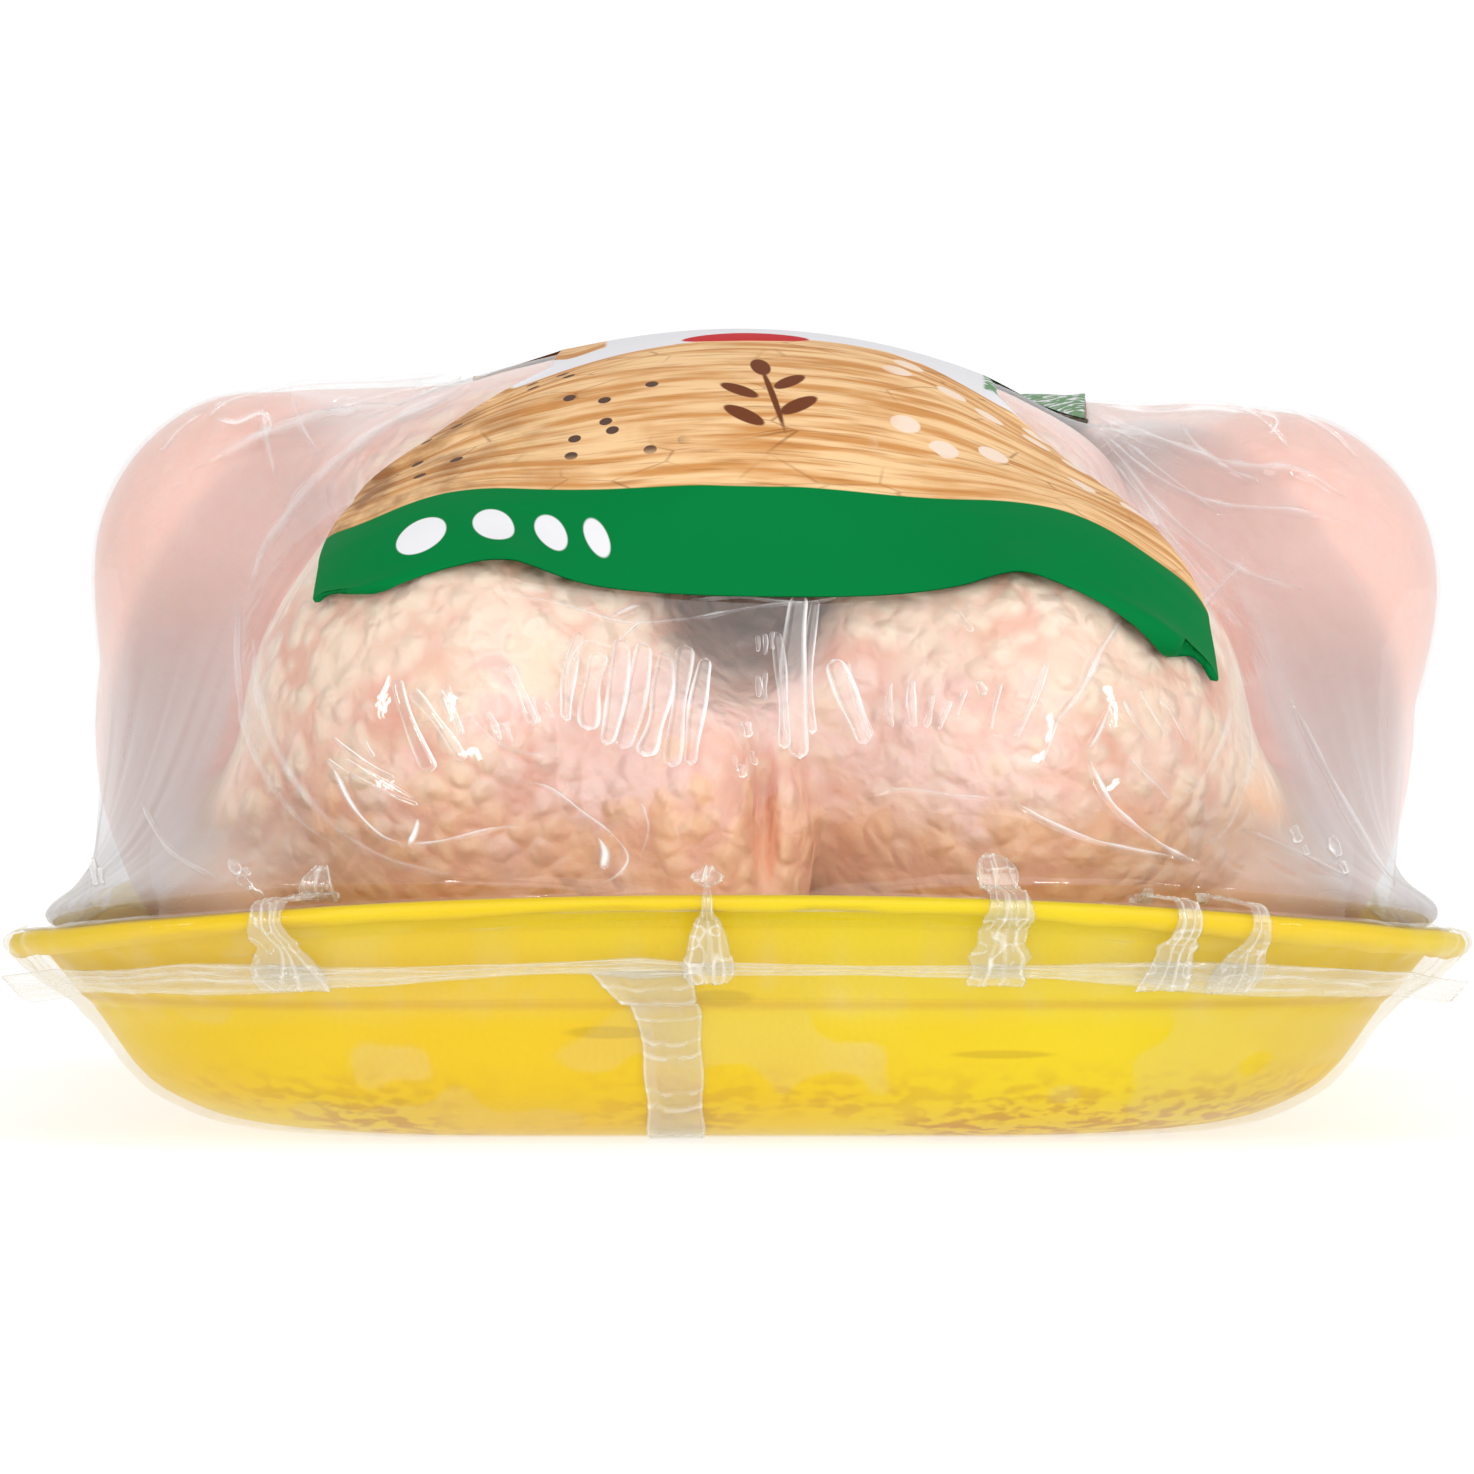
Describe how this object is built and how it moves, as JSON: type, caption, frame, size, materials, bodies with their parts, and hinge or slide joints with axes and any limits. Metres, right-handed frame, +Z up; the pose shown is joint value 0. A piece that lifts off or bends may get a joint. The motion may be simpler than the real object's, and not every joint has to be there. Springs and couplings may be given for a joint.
{
  "type": "packed whole raw chicken",
  "caption": "Whole raw chicken lying on its back in a yellow foam tray, sealed in clear shrink film, with a waisted paper label over the breast.",
  "frame": {"origin": "middle of the tray's flat base, on the surface that it stands on", "axes": "+Z up, -Y towards the neck end that shows the label's broad edge, +X to the right of someone who looks at that end"},
  "size_m": [0.1922, 0.2602, 0.1074],
  "materials": {
    "foam": "bright yellow expanded foam with a fine satin skin",
    "skin": "moist pimpled raw poultry skin, pale pink to cream, under clear film",
    "film": "thin clear glossy shrink film, milky where it is gathered and sealed",
    "label": "printed satin paper, tan with a green band and a pale far end"
  },
  "bodies": {
    "root": {"tray": "foam", "wrapped_chicken": "skin", "label": "label", "end_seal_front": "film", "end_seal_back": "film", "lap_seam_front": "film", "lap_seam_back": "film"}
  },
  "joints": []
}
